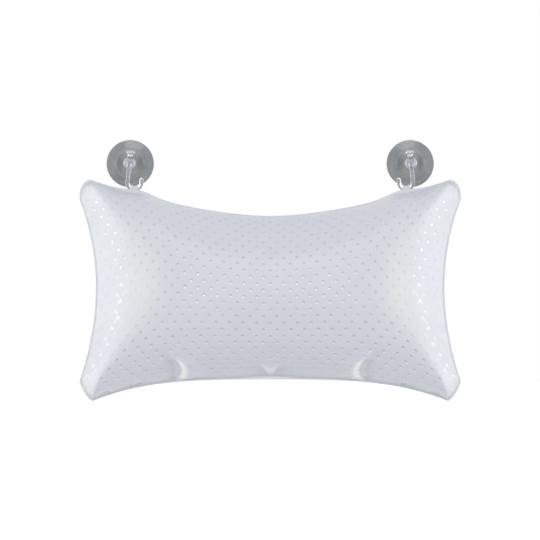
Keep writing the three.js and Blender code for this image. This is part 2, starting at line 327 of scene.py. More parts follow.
# Soft clear vinyl of the cups, painted grey for the dim surroundings seen through it, with painted light and
# shade and painted streaks on the knob. The places are distances from the cup's upright middle, apart from
# the levels, which are heights, KNOB_START, which is a y, and KNOB_LINE, which is a distance from the hole's
# sides.
CUP_PAINTED_GREY = (0.29, 0.31, 0.32)
CUP_PATCHES_AND_PAINTED_LIGHT = (0.34, 0.355, 0.365)
CUP_PAINTED_SHADE = (0.21, 0.235, 0.245)
CUP_LIP_PAINTED_LIGHT = (0.32, 0.335, 0.34)
KNOB_PAINTED_LIGHT = (0.69, 0.70, 0.79)
KNOB_PAINTED_STREAK = (1.0, 1.0, 1.0)
CUP_MIDDLE = (0.009, 0.004)
CUP_SECTOR_START = (0.0055, 0.0075)
CUP_SECTOR_END = (0.0145, 0.012)
CUP_SECTOR_LEVEL = (0.008, 0.003)
CUP_OUTER_START = (0.0115, 0.0135)
KNOB_START = (-0.0078, -0.0105)
KNOB_LINE = (0.0009, 0.0004)
KNOB_LINE_LEVEL = (-0.0004, -0.0012)
KNOB_EDGE = (KNOB_RADIUS - 0.0012, KNOB_RADIUS - 0.0006)
KNOB_EDGE_PAINTED_STREAK = 0.8
CUP_UNEVEN = 0.5
CUP_ROUGHNESS = (0.10, 0.19)
KNOB_DULLER = 0.02
CUP_SHADER = {
    "Roughness": 0.14,
    "Transmission Weight": 0.75,
    "IOR": 1.48,
    "Coat IOR": 2.4,
    "Coat Roughness": 0.08,
}

# Hard clear plastic of the hooks, with a head that starts above the knob and gets painted light
HOOK_CLEAR = (0.94, 0.955, 0.965)
HOOK_CLOUDY = (0.90, 0.92, 0.95)
HEAD_PAINTED_LIGHT = (1.0, 1.0, 1.0)
HEAD_START = (KNOB_RADIUS, KNOB_RADIUS + 0.0006)
HOOK_ROUGHNESS = (0.02, 0.09)
HEAD_DULLER = 0.14
HOOK_SHADER = {"Roughness": 0.04, "Transmission Weight": 0.92, "IOR": 1.49, "Coat IOR": 2.4}

# Fibre of the filling
FIBRE_PALE = (0.90, 0.89, 0.86)
FIBRE_DEEP = (0.74, 0.73, 0.69)
FIBRE_ROUGHNESS = (0.98, 0.88)
FIBRE_SHADER = {"Roughness": 0.95}

# Stage and light, with each softbox's name, place, size, watts and colour
FLOOR_HEIGHT = -0.45
FLOOR_REACH = 6
FLOOR_PAINT = (0.82, 0.82, 0.82)
FLOOR_GLOW = 0.7
FLOOR_SHADER = {"Roughness": 0.8, "Emission Color": (1, 1, 1, 1)}
WORLD_COLOUR = (0.95, 0.97, 1.0, 1)
WORLD_STRENGTH = 0.51
LIGHT_TARGET = (0, -0.04, -0.09)
SOFTBOXES = (
    ("left_softbox", (-1.5, -0.12, -0.02), 1.2, 8.5, (1.0, 0.995, 0.93)),
    ("right_softbox", (1.5, -0.12, -0.02), 1.2, 8.5, (1.0, 0.995, 0.93)),
    ("key_softbox", (0, -1.3, 0.9), 0.8, 5.3, (0.97, 0.98, 1.0)),
)


def new_piece(name, vertices, faces, material):
    """Smooth mesh object at the origin from an array of vertices and a list of face arrays."""
    mesh = bpy.data.meshes.new(name)
    rows = [row for block in faces for row in block.tolist()]
    mesh.from_pydata(vertices.tolist(), [], rows)
    mesh.polygons.foreach_set("use_smooth", np.full(len(mesh.polygons), True))
    mesh.materials.append(material)
    mesh.update()
    piece = bpy.data.objects.new(name, mesh)
    bpy.context.scene.collection.objects.link(piece)
    return piece


def mark(piece, marks):
    """Named values on the first points of a mesh, and 0 on the rest."""
    for name, values in marks.items():
        padded = np.zeros(len(piece.data.vertices))
        padded[:len(values)] = values
        piece.data.attributes.new(name, "FLOAT", "POINT").data.foreach_set("value", padded)


def close_poles(piece):
    """Merges the points of a pole or a seam of turned and swept pieces, and turns all faces outwards."""
    shape = bmesh.new()
    shape.from_mesh(piece.data)
    bmesh.ops.remove_doubles(shape, verts=shape.verts, dist=MERGE_DISTANCE)
    bmesh.ops.dissolve_degenerate(shape, dist=MERGE_DISTANCE, edges=shape.edges)
    bmesh.ops.recalc_face_normals(shape, faces=shape.faces)
    shape.to_mesh(piece.data)
    shape.free()
    return piece


def index_grid(points):
    """Indices of a grid of points, in the grid's shape."""
    return np.arange(points.shape[0] * points.shape[1]).reshape(points.shape[:2])


def grid_faces(ids, flip=False):
    """Quads between the neighbours of an index grid; turned round when flip is set."""
    a = ids[:-1, :-1]
    b = ids[:-1, 1:]
    c = ids[1:, 1:]
    d = ids[1:, :-1]
    order = (a, d, c, b) if flip else (a, b, c, d)
    return np.stack(order, axis=-1).reshape(-1, 4)


def ring(ids):
    """Border of an index grid as one closed loop, without its first entry again at the end."""
    return np.concatenate([ids[0, :-1], ids[:-1, -1], ids[-1, :0:-1], ids[:0:-1, 0]])


def bell(distance, width):
    """Smooth bump of height 1: a Gaussian of the distance over the width."""
    return np.exp(-((distance / width) ** 2))


def eased(share):
    """Smooth way from 0 to 1: three times the square of the share less twice its cube, held at both ends."""
    share = np.clip(share, 0, 1)
    return share * share * (3 - 2 * share)


def fades(place, start, end):
    """Smooth change from 1 at start to 0 at end."""
    return eased((end - place) / (end - start))


def to_frame(points):
    """Cushion frame to object frame: a lean of PILLOW_TILT about X, then a move to the hinge line."""
    x, y, z = np.moveaxis(points, -1, 0)
    cos, sin = math.cos(PILLOW_TILT), math.sin(PILLOW_TILT)
    return np.stack([x, y * cos + z * sin, z * cos - y * sin], axis=-1) + HINGE


def half_width(v):
    """Half the cushion's width at v: the waist's, and more towards both ends as a power of v."""
    corner = np.where(v > 0, TOP_WIDTH, BOTTOM_WIDTH) / 2
    return HALF_WAIST + (corner - HALF_WAIST) * np.abs(v) ** SIDE_POWER


def cut_corner(u, v):
    """Cuts the corners of the square of u and v with round ends: a square at each corner goes to the quarter
    where the sum of both coordinates to a power, 1 for a straight cut and 2 for a circle, is at most 1."""
    reach = np.where(v > 0, TOP_CORNER_CUT, BOTTOM_CORNER_CUT)
    power = np.where(v > 0, TOP_CORNER_POWER, BOTTOM_CORNER_POWER)
    near_side = np.clip(1 - (1 - np.abs(u)) * HALF_WAIST / reach, 0, 1)
    near_edge = np.clip(1 - (1 - np.abs(v)) * HALF_HEIGHT / reach, 0, 1)
    in_u = reach * near_side * (1 - (1 - near_edge**power / 2) ** (1 / power))
    in_v = reach * near_edge * (1 - (1 - near_side**power / 2) ** (1 / power))
    return u - np.sign(u) * in_u / HALF_WAIST, v - np.sign(v) * in_v / HALF_HEIGHT


def seam_outline(u, v):
    """Outline sheet of the cushion: x is u times the half width at v, and z runs from the bottom edge to the
    top edge, which are powers of u, with the top pulled up beside each hook; the corners are cut first."""
    u, v = cut_corner(u, v)
    au = np.abs(u)
    beside_hook = au * TOP_WIDTH / 2 - (LOOP_X - BEND_RADIUS)
    pull = HOOK_LIFT * np.exp(-((beside_hook / HOOK_LIFT_REACH) ** 2) / 2)
    top = -MIDDLE_DROP + TOP_CORNER_RISE * au**TOP_POWER + pull
    bottom = -MIDDLE_DROP - MIDDLE_HEIGHT - BOTTOM_CORNER_DROP * au**BOTTOM_POWER
    return u * half_width(v), bottom + (top - bottom) * (v + 1) / 2


def drawn_in(x, z, inset):
    """Outline sheet shrunk towards its middle, by inset at the waist and at the middle of top and bottom."""
    return x * (1 - inset / HALF_WAIST), MIDDLE_Z + (z - MIDDLE_Z) * (1 - inset / HALF_HEIGHT)


def swell(u, v):
    """Share of the full depth: a ramp r from each end of the cushion that bends over into a level middle as
    r / (1 + r^n)^(1/n), steeper and with a sharper knee as v squared grows, times (1 - v^2)^SWELL_EDGES."""
    ramp = (RAMP_SLOPE + np.where(v > 0, RAMP_TOP_STEEPER, RAMP_BOTTOM_STEEPER) * v**2) * (1 - np.abs(u))
    knee = RAMP_KNEE + RAMP_SHARPER * v**2
    return ramp / (1 + ramp**knee) ** (1 / knee) * np.clip(1 - v**2, 0, 1) ** SWELL_EDGES


def lens(x, v):
    """Height by which the weld is drawn in at the middle of the bottom and beside each hook at the top: a
    bell of x times a power of v."""
    bottom = BOTTOM_LENS * bell(x, BOTTOM_LENS_REACH) * np.clip(-v, 0, 1) ** LENS_POWER
    top = TOP_LENS * bell(np.abs(x) - TOP_LENS_AT, TOP_LENS_REACH) * np.clip(v, 0, 1) ** LENS_POWER
    return bottom - top


def panel(side, u, v):
    """Panel inside its weld, in the object frame: the outline drawn in by the flange and swollen in y."""
    u, v = np.broadcast_arrays(u, v)
    x, z = drawn_in(*seam_outline(u, v), FLANGE_WIDTH)
    depth = FRONT_DEPTH if side == FRONT else BACK_DEPTH
    points = to_frame(np.stack([x, SEAM_Y + side * depth * swell(u, v), z + lens(x, v)], axis=-1))
    points[..., 1] = np.minimum(points[..., 1], -WALL_GAP)
    return points


def spread(count):
    """Steps from -1 to 1 that close up towards both ends, as a sine."""
    return np.sin(np.pi / 2 * np.linspace(-1, 1, count))


def simulate(front, back):
    """Both panels joined at the weld, which is pinned, and blown up as cloth with a little slack; each point
    may move no further than SIM_CAP, which the hyperbolic tangent of its way keeps to."""
    rows, columns = front.shape[:2]
    front_ids = index_grid(front)
    back_ids = front_ids.copy()
    back_ids[1:-1, 1:-1] = rows * columns + index_grid(back[1:-1, 1:-1])
    start = np.concatenate([front.reshape(-1, 3), back[1:-1, 1:-1].reshape(-1, 3)])
    faces = [grid_faces(front_ids), grid_faces(back_ids, flip=True)]
    bag = new_piece("stuffing_bag", start, faces, bpy.data.materials.new("bag"))
    bag.vertex_groups.new(name=SIM_WELD).add(ring(front_ids).tolist(), 1.0, "REPLACE")
    cloth = bag.modifiers.new("stuffing", "CLOTH")
    for name, value in SIM_SETTINGS.items():
        setattr(cloth.settings, name, value)
    cloth.settings.effector_weights.gravity = 0
    cloth.collision_settings.use_collision = False
    cloth.point_cache.frame_start = 1
    cloth.point_cache.frame_end = SIM_FRAMES
    scene = bpy.context.scene
    for number in range(1, SIM_FRAMES + 1):
        scene.frame_set(number)
    made = bag.evaluated_get(bpy.context.evaluated_depsgraph_get()).to_mesh()
    moved = np.empty(len(made.vertices) * 3)
    made.vertices.foreach_get("co", moved)
    moved = moved.reshape(-1, 3) - start
    scene.frame_set(1)
    bpy.data.objects.remove(bag)
    length = np.linalg.norm(moved, axis=1, keepdims=True)
    ended = start + moved * (SIM_CAP * np.tanh(length / SIM_CAP) / np.maximum(length, NEAR))
    ended[:, 1] = np.minimum(ended[:, 1], -WALL_GAP)
    return ended[front_ids], ended[back_ids]


def cubic_taps(place, count):
    """Four neighbours of each place among count samples spread as a sine from -1 to 1, and their Catmull-Rom
    shares."""
    at = (np.arcsin(np.clip(place, -1, 1)) * 2 / np.pi + 1) / 2 * (count - 1)
    low = np.clip(np.floor(at).astype(int), 0, count - 2)
    t = at - low
    shares = (
        -0.5 * t + t**2 - 0.5 * t**3,
        1 - 2.5 * t**2 + 1.5 * t**3,
        0.5 * t + 2 * t**2 - 1.5 * t**3,
        -0.5 * t**2 + 0.5 * t**3,
    )
    return [(np.clip(low + k - 1, 0, count - 1), share) for k, share in enumerate(shares)]


def surface(grid, u, v):
    """Points of a panel's grid at any u and v: the sum of 4 by 4 neighbours times their shares."""
    rows, columns = grid.shape[:2]
    across = cubic_taps(u, columns)
    total = 0
    for i, up_share in cubic_taps(v, rows):
        for j, across_share in across:
            total = total + grid[i, j] * (up_share * across_share)[..., None]
    return total


def facing(along, up, side):
    """Unit normals out of the cushion: the cross product of the slopes along and up a panel."""
    normal = np.cross(along, up) * -side
    return normal / np.maximum(np.linalg.norm(normal, axis=-1, keepdims=True), TINY)


def grid_normals(grid, side):
    """Unit normals at the points of a panel's grid, from its differences both ways."""
    return facing(np.gradient(grid, axis=1), np.gradient(grid, axis=0), side)


def surface_normals(grid, side, u, v):
    """Unit normals of a panel's grid at any u and v, from differences over a small step both ways."""
    left, right = np.clip(u - SLOPE_STEP, -1, 1), np.clip(u + SLOPE_STEP, -1, 1)
    low, high = np.clip(v - SLOPE_STEP, -1, 1), np.clip(v + SLOPE_STEP, -1, 1)
    along = surface(grid, right, v) - surface(grid, left, v)
    up = surface(grid, u, high) - surface(grid, u, low)
    return facing(along, up, side)


def arc_table(points):
    """Length along a row of points, measured from its middle."""
    steps = np.linalg.norm(np.diff(points, axis=0), axis=1)
    run = np.concatenate([[0], np.cumsum(steps)])
    return run - np.interp((len(points) - 1) / 2, np.arange(len(points)), run)


def lattice(half, low, high):
    """Triangles over a sheet from -half to half and from low to high, on lines along the sides of the
    diamonds. Points past an edge are drawn in to it, a quad's diagonal turns where that would cut off a
    corner, and triangles with no area are dropped."""
    reach = int(half / PIT_PITCH + max(-low, high) / (2 * PIT_ROW)) + 2
    steps = np.arange(-reach, reach + 1)[:, None]
    rising = (steps + np.array(LATTICE_LINES)).ravel()
    falling = np.sort((steps - np.array(LATTICE_LINES)).ravel())[:, None]
    s = (falling + rising) * PIT_PITCH / 2
    t = (rising - falling) * PIT_ROW
    inside = (np.abs(s) < half) & (t > low) & (t < high)
    quads = grid_faces(index_grid(s), True)
    corners = inside.ravel()[quads]
    cut_off = ~(corners[:, 0] | corners[:, 2])
    quads[cut_off] = np.roll(quads[cut_off], 1, axis=1)
    quads = quads[corners.any(axis=1)]
    flat = np.stack([np.clip(s, -half, half), np.clip(t, low, high)], axis=-1).reshape(-1, 2)
    used, faces = np.unique(quads, return_inverse=True)
    places, merged = np.unique(np.round(flat[used], LATTICE_DIGITS), axis=0, return_inverse=True)
    faces = merged.ravel()[faces.reshape(quads.shape)]
    triangles = np.concatenate([faces[:, [0, 1, 2]], faces[:, [0, 2, 3]]])
    a, b, c = np.moveaxis(places[triangles], 1, 0)
    area = (b[:, 0] - a[:, 0]) * (c[:, 1] - a[:, 1]) - (b[:, 1] - a[:, 1]) * (c[:, 0] - a[:, 0])
    kept, triangles = np.unique(triangles[area > TINY], return_inverse=True)
    return places[kept, 0], places[kept, 1], triangles.reshape(-1, 3)


def to_edge(place):
    """Places very near to -1 or 1 moved onto it."""
    return np.where(np.abs(place) > 1 - EDGE_TOLERANCE, np.sign(place), place)


def perimeter(u, v):
    """Way round the edge of the square of u and v, from 0 at the lower left corner to 8 on the left side."""
    way = np.where(v <= -1, 1 + u, np.where(u >= 1, 3 + v, np.where(v >= 1, 5 - u, 7 - v)))
    return np.where((u <= -1) & (v <= -1), 0, way)


def border(u, v):
    """Indices of the points on the square's edge in their order round it, and their places on the way."""
    on_edge = np.flatnonzero((np.abs(u) >= 1) | (np.abs(v) >= 1))
    way = perimeter(u[on_edge], v[on_edge])
    order = np.argsort(way)
    return on_edge[order], way[order]


def pit_painted_light(u, v, low, high, aside, slope):
    """Painted light and shade of the pits, from -1 for painted shade to 1 for painted glints. The walls get
    painted shade by the sheet's slope, less where it looks aside. The floors get painted glints in a bell
    round one slope, a little where the sheet looks down, and along each ridge, at RIDGE_MIDDLE plus a share
    of v squared, with the walls of its lower half."""
    wall = (high > PIT_FOOT - PIT_MARGIN) & (high < PIT_BRINK + PIT_MARGIN)
    facet = (high < PIT_FOOT - PIT_MARGIN) & (low > PIT_LOWER - PIT_MARGIN)
    facing_us = fades(aside, *PIT_SHADE_FADE)
    shade = np.interp(slope, PIT_SLOPES, PIT_WALL_PAINTED_SHADES) * (PIT_SHADE_ASIDE + (1 - PIT_SHADE_ASIDE) * facing_us)
    band = BAND_PAINTED_GLINT * bell(slope - BAND_SLOPE, BAND_WIDTH) * fades(aside, *BAND_FADE)
    below = BELOW_PAINTED_LIGHT * fades(slope, *BELOW_FADE) * facing_us
    ridge_at = RIDGE_MIDDLE + np.where(v > 0, RIDGE_UPPER, RIDGE_LOWER) * v**2
    ridge = bell(np.abs(u) - ridge_at, RIDGE_WIDTH)
    glinting_wall = RIDGE_WALL_PAINTED_GLINT * wall * fades(v, *RIDGE_WALL_FADE)
    painted_light = np.maximum(np.maximum(band, below) * facet, ridge * (facet + glinting_wall))
    return painted_light - (1 - ridge) * shade * wall * np.clip((low + PIT_RIM) / (PIT_RIM + PIT_LOWER), 0, 1)


def pits(s, t, u, v, to_weld, normal):
    """Depth of the embossing, from 0 to 1, and its painted light and shade: the depth is the smaller of a
    floor that goes down from the lowest corner of a diamond to the foot of the walls and a steep way up to
    all its sides, and less where the sheet looks aside. Both fade out towards the weld."""
    p = s / PIT_PITCH + t / (2 * PIT_ROW)
    q = t / (2 * PIT_ROW) - s / PIT_PITCH
    p = p - np.round(p)
    q = q - np.round(q)
    low = np.minimum(p, q)
    high = np.maximum(p, q)
    floor = (p + q + 2 * PIT_RIM) / (2 * PIT_FOOT + 2 * PIT_RIM)
    steep = np.minimum((PIT_RIM - high) / (PIT_RIM - PIT_FOOT), (PIT_RIM + low) / (PIT_RIM + PIT_LOWER))
    aside = np.abs(normal[:, 0]) / np.maximum(np.hypot(normal[:, 0], normal[:, 1]), NEAR)
    kept_depth = PIT_DEPTH_ASIDE + (1 - PIT_DEPTH_ASIDE) * fades(aside, *PIT_DEPTH_FADE)
    depth = np.clip(np.minimum(floor, steep), 0, 1) * kept_depth
    fade = np.clip(to_weld / PIT_SEAM_FADE - 0.5, 0, 1)
    return depth * fade, pit_painted_light(u, v, low, high, aside, normal[:, 2]) * fade


def step(inward, depth, rise, wall, fall):
    """Step of a fold: a valley on the outside that falls to depth at 0, a smooth wall from there up to rise,
    and a slow way back to the sheet; both slow ways are Gaussians of the distance over fall."""
    away = np.where(inward < 0, inward, np.maximum(inward - wall, 0))
    return (eased(inward / wall) * (depth + rise) - depth) * bell(away, fall)


def tuck(out, up):
    """Rise and painted light and shade of the bowed tucks: a step along two half parabolas that meet at
    TUCK_BOW_HEIGHT, fainter above its break, with painted light on the wall and painted shade in the valley."""
    bow = np.where(up > TUCK_BOW_HEIGHT, TUCK_BOW_UPPER, TUCK_BOW_LOWER) * (up - TUCK_BOW_HEIGHT) ** 2
    inward = TUCK_MIDDLE + bow - out
    strength = (TUCK_FAINT + (1 - TUCK_FAINT) * fades(up, *TUCK_BREAK)) * fades(up, *TUCK_FADE)
    raised = strength * eased(up / FOLD_EASE)
    painted_light = bell(inward - TUCK_WALL / 2, TUCK_WALL * TUCK_LIGHT_REACH)
    shade = TUCK_PAINTED_SHADE * bell(inward, TUCK_FALL) * (inward < 0)
    return raised * step(inward, TUCK_DEPTH, TUCK_RISE, TUCK_WALL, TUCK_FALL), strength * (painted_light - shade)


def dart(out, up):
    """Rise and painted light and shade of the tongue: a step along the two sides of a V, with painted light
    inside and painted shade outside.
    """
    inward = DART_HALF_WIDTH + DART_SPREAD * up - out
    strength = fades(up, *DART_FADE)
    raised = strength * eased(up / FOLD_EASE)
    tint = np.where(inward < 0, -DART_PAINTED_SHADE * bell(inward, DART_FALL), DART_PAINTED_LIGHT * eased(inward / DART_EDGE))
    return raised * step(inward, DART_DEPTH, DART_RISE, DART_WALL, DART_FALL), strength * tint


def folds(s, up, down):
    """Rise of the front's folds over the sheet, and their painted light and shade, from -1 for painted shade
    to
    1 for painted light: sums over the tucks, the tongue and the ears. The heights up and down run from the
    bottom and the top weld."""
    out = np.abs(s)
    tuck_rise, tuck_tint = tuck(out, up)
    dart_rise, dart_tint = dart(out, up)
    ear_tint = EAR_PAINTED_SHADE * bell(out - EAR_MIDDLE, EAR_SIZE) * fades(down, *EAR_FADE)
    return tuck_rise + dart_rise, np.clip(tuck_tint + dart_tint + ear_tint, -1, 1)


def crinkles(s, up, down):
    """Share of crinkling of the front, where squiggles of painted shade go: a bell over each crinkled place
    beside the bottom and the top weld.
    """
    share = 0 * s
    for places, height in ((BOTTOM_CRINKLES, up), (TOP_CRINKLES, down)):
        for middle, reach, rise, rise_reach in places:
            share = np.maximum(share, bell(np.abs(s) - middle, reach) * bell(height - rise, rise_reach))
    return share


def flange(side, u, v):
    """Loops of points of the weld and flange round the border at u and v, with their painted light and shade:
    for each row of the profile the outline drawn in by the rest of the flange's width, with painted light at
    the bottom's lens."""
    x, z = seam_outline(u, v)
    lens_height = lens(x, v)
    for share, height, tint in FLANGE_PROFILE:
        edge_x, edge_z = drawn_in(x, z, FLANGE_WIDTH * (1 - share))
        edge_y = np.full_like(x, SEAM_Y + side * height)
        painted_light = LENS_PAINTED_LIGHT * np.clip(lens_height / BOTTOM_LENS, 0, 1) * (share > LENS_FROM)
        points = np.stack([edge_x, edge_y, edge_z + lens_height * (1 - share)], axis=-1)
        yield to_frame(points), np.clip(tint + painted_light, -1, 1)


def joined_loops(outer, way, inner, inner_way):
    """Triangles between two loops with different steps on the same way round: each step of the outer one
    meets the last inner point before it, and each step of the inner one the first outer point after it."""
    partner = np.searchsorted(inner_way, way + NEAR, side="right") - 1
    opposite = np.searchsorted(partner, np.arange(1, len(inner) + 1)) % len(outer)
    return [
        np.stack([outer, inner[partner], np.roll(outer, -1)], axis=-1),
        np.stack([outer[opposite], inner, np.roll(inner, -1)], axis=-1),
    ]


def cover(name, side, grid, material):
    """One vinyl panel as a closed shell: the embossed outer face, the weld's groove and flange round it, the
    flange's edge, and a plain inner face on a coarse grid. Only the facets of the pits stay flat."""
    fine = np.linspace(-1, 1, ARC_SAMPLES)
    across = arc_table(panel(side, fine, 0 * fine))
    upward = arc_table(panel(side, 0 * fine, fine))
    s, t, triangles = lattice(across[-1], upward[0], upward[-1])
    u = to_edge(np.interp(s, across, fine))
    v = to_edge(np.interp(t, upward, fine))
    up = t - upward[0]
    down = upward[-1] - t
    to_weld = np.minimum(np.minimum(up, down), across[-1] - np.abs(s))
    sheet = surface(grid, u, v)
    normal = surface_normals(grid, side, u, v)
    forward = to_frame(np.array([0.0, side * SHEET, 0.0])) - HINGE
    # Depth of the pits and their painted light and shade
    depth, pit_painted_shading = pits(s, t, u, v, to_weld, normal)
    rise, painted_shading = folds(s, up, down) if side == FRONT else (0 * s, 0 * s)
    crinkle = crinkles(s, up, down) if side == FRONT else 0 * s
    # Painted light before each ridge
    painted_glow = bell(np.abs(u) - GLOW_AT, GLOW_REACH) * fades(np.abs(v), *GLOW_FADE)
    # Painted shade along the weld, more where it is drawn in
    painted_weld_shade = WELD_PAINTED_SHADE + LENS_WELD_PAINTED_SHADE * np.abs(lens(sheet[:, 0], v)) / TOP_LENS
    painted_shading = np.clip(painted_shading + painted_weld_shade * bell(to_weld, WELD_REACH), -1, 1)
    face = sheet + normal * (rise - PIT_DEPTH * depth)[:, None] + forward
    face[:, 1] = np.minimum(face[:, 1], -WALL_GAP)

    first, way = border(u, v)
    loops = [first]
    points = [face]
    painted_shadings = [painted_shading]
    for loop, tint in flange(side, u[first], v[first]):
        loops.append(sum(map(len, points)) + np.arange(len(loop)))
        points.append(loop)
        painted_shadings.append(tint)

    inner_u, inner_v = np.meshgrid(spread(INNER_COLUMNS), spread(INNER_ROWS))
    inset = (PIT_DEPTH + SHEET) * ((np.abs(inner_u) < 1) & (np.abs(inner_v) < 1))
    inner = surface(grid, inner_u, inner_v) - surface_normals(grid, side, inner_u, inner_v) * inset[..., None]
    inner_ids = sum(map(len, points)) + index_grid(inner)
    inner_first, inner_way = border(inner_u.ravel(), inner_v.ravel())
    points.append(inner.reshape(-1, 3) + forward * INNER_SHIFT)

    faces = [triangles]
    for near, far in zip(loops, loops[1:]):
        faces.append(np.stack([far, np.roll(far, -1), np.roll(near, -1), near], axis=-1))
    faces += joined_loops(loops[-1], way, inner_ids.ravel()[inner_first], inner_way)
    faces.append(grid_faces(inner_ids, True))
    if side == BACK:
        faces = [block[:, ::-1] for block in faces]
    piece = new_piece(name, np.concatenate(points), faces, material)
    smooth = np.full(len(piece.data.polygons), True)
    smooth[:len(triangles)] = (depth[triangles] == 0).all(axis=1)
    piece.data.polygons.foreach_set("use_smooth", smooth)
    painted_shadings = np.concatenate(painted_shadings)
    mark(piece, {"pit_painted_shading": pit_painted_shading, "painted_shading": painted_shadings, "crinkle": crinkle, "painted_glow": painted_glow})
    return piece


def chained(start, *curves):
    """Points of quadratic curves that follow each other, each given by the handle that it is pulled towards,
    its end, and its count of points."""
    rows = []
    for handle, end, count in curves:
        t = np.linspace(0, 1, count, endpoint=False)[:, None]
        a, b, c = np.array([start, handle, end])
        rows.append((1 - t) ** 2 * a + 2 * t * (1 - t) * b + t**2 * c)
        start = end
    return np.concatenate([*rows, [start]])


def leaned(points, side):
    """Cup frame to object frame: a lean about the cup's axis, mirrored for the right-hand cup."""
    x, y, z = np.moveaxis(points, -1, 0)
    cos, sin = math.cos(HOOK_LEAN), math.sin(HOOK_LEAN)
    turned = np.stack([x * cos + z * sin, y, z * cos - x * sin], axis=-1)
    turned[..., 0] = -side * turned[..., 0] + side * CUP_SPACING / 2
    return turned


def turned_piece(name, points, side, material):
    """Closed piece from a grid of points in the cup frame that comes round to its own start."""
    faces = [grid_faces(index_grid(points))]
    return close_poles(new_piece(name, leaned(points, side).reshape(-1, 3), faces, material))


def cup_profile():
    """Radius and height of a cup's outline: the hollow, the land, the edge, the lip, the dome, the knob's
    neck, and the knob up to its crown."""
    dome = CUP_RADIUS - CUP_LIP_WIDTH
    land = CUP_RADIUS - CUP_LAND
    bore = ROD_RADIUS + FIT
    crown = HOOK_STANDOFF + bore + KNOB_CROWN
    return chained(
        (0, CUP_HOLLOW),
        ((dome, CUP_HOLLOW), (land, 0), 20),
        ((CUP_RADIUS - CUP_LAND / 2, 0), (CUP_RADIUS - CUP_LAND_ROUND, 0), 3),
        ((CUP_RADIUS, 0), (CUP_RADIUS, CUP_EDGE / 2), 5),
        ((CUP_RADIUS, CUP_EDGE), (CUP_RADIUS - CUP_EDGE_ROUND, CUP_EDGE), 6),
        ((dome + CUP_LIP_SAG_WIDTH, CUP_LIP_SAG_HEIGHT), (dome, CUP_LIP_HEIGHT), 14),
        ((dome - CUP_DOME_ROUND, CUP_DOME_HEIGHT), (KNOB_NECK_RADIUS + KNOB_NECK_ROUND, CUP_DOME_HEIGHT), 20),
        ((KNOB_NECK_RADIUS, CUP_DOME_HEIGHT), (KNOB_NECK_RADIUS, CUP_DOME_HEIGHT + KNOB_NECK_ROUND), 6),
        ((KNOB_RADIUS, HOOK_STANDOFF - bore), (KNOB_RADIUS, HOOK_STANDOFF), 10),
        ((KNOB_RADIUS, crown), (0, crown), 20),
    )


def suction_cup(name, side, material):
    """Profile turned about the cup's axis, with the shank's hole cut out by a round drill along z."""
    profile = cup_profile()
    angle = np.linspace(0, 2 * np.pi, CUP_SIDES + 1)
    radius = profile[:, :1]
    height = np.broadcast_to(-profile[:, 1:], (len(profile), len(angle)))
    points = np.stack([radius * np.cos(angle), height, radius * np.sin(angle)], axis=-1)
    cup = turned_piece(name, points, side, material)
    bore = np.array([0, 1, 1, 0])[:, None] * (ROD_RADIUS + FIT)
    length = np.array([-1, -1, 1, 1])[:, None] * DRILL_REACH + 0 * angle
    drill_points = np.stack([bore * np.cos(angle), bore * np.sin(angle) - HOOK_STANDOFF, length], axis=-1)
    drill = turned_piece("drill", drill_points, side, material)
    cut = cup.modifiers.new("shank_hole", "BOOLEAN")
    cut.object = drill
    cut.operation = "DIFFERENCE"
    cut.solver = "EXACT"
    made = bpy.data.meshes.new_from_object(cup.evaluated_get(bpy.context.evaluated_depsgraph_get()))
    cup.modifiers.clear()
    cup.data = made
    bpy.data.objects.remove(drill)
    return cup


def hook(name, side, material):
    """Round section carried along a J, with a radius that gives the mushroom head, the rod and the tip."""
    seat = KNOB_RADIUS + FIT
    top = seat + HEAD_HEIGHT
    brim = HEAD_HEIGHT - HEAD_BRIM_HEIGHT
    under = brim + HEAD_BRIM_UNDER
    shank = top + SHANK_LENGTH
    bend = math.pi * BEND_RADIUS
    whole = shank + bend + TIP_RISE
    head = chained(
        (0, 0),
        ((0, HEAD_RADIUS), (brim - HEAD_BRIM_ROUND, HEAD_RADIUS), 16),
        ((brim, HEAD_RADIUS), (under, HEAD_RADIUS - HEAD_BRIM_STEP), 5),
        ((under, HEAD_NECK_RADIUS), (HEAD_HEIGHT, HEAD_NECK_RADIUS), 10),
    )
    rod_run = np.linspace(HEAD_HEIGHT, whole - ROD_RADIUS, int((whole - ROD_RADIUS) / ROD_STEP))
    rod = np.stack([rod_run, np.full_like(rod_run, ROD_RADIUS)], axis=-1)
    turn = np.linspace(0, np.pi / 2, TIP_ROWS)[1:]
    tip = np.stack([whole - ROD_RADIUS + ROD_RADIUS * np.sin(turn), ROD_RADIUS * np.cos(turn)], axis=-1)
    run, radius = np.concatenate([head, rod, tip]).T
    angle = np.clip((run - shank) / BEND_RADIUS, 0, np.pi)
    after = np.clip(run - shank - bend, 0, None)
    centre_x = BEND_RADIUS * (1 - np.cos(angle))
    centre_z = top - np.minimum(run, shank) - BEND_RADIUS * np.sin(angle) + after
    round_it = np.linspace(0, 2 * np.pi, ROD_SIDES + 1)
    aside = radius[:, None] * np.cos(round_it)
    points = np.stack([
        centre_x[:, None] + aside * np.cos(angle)[:, None],
        -HOOK_STANDOFF + radius[:, None] * np.sin(round_it),
        centre_z[:, None] + aside * np.sin(angle)[:, None],
    ], axis=-1)
    return turned_piece(name, points, side, material)


def shell_between(name, outer, inner, material):
    """Closed body between two equal grids of points."""
    ids = index_grid(outer)
    loop = ring(ids)
    after = np.roll(loop, -1)
    rim = np.stack([loop, after, after + ids.size, loop + ids.size], axis=-1)
    vertices = np.concatenate([outer.reshape(-1, 3), inner.reshape(-1, 3)])
    faces = [grid_faces(ids), grid_faces(ids + ids.size, True), rim]
    return close_poles(new_piece(name, vertices, faces, material))


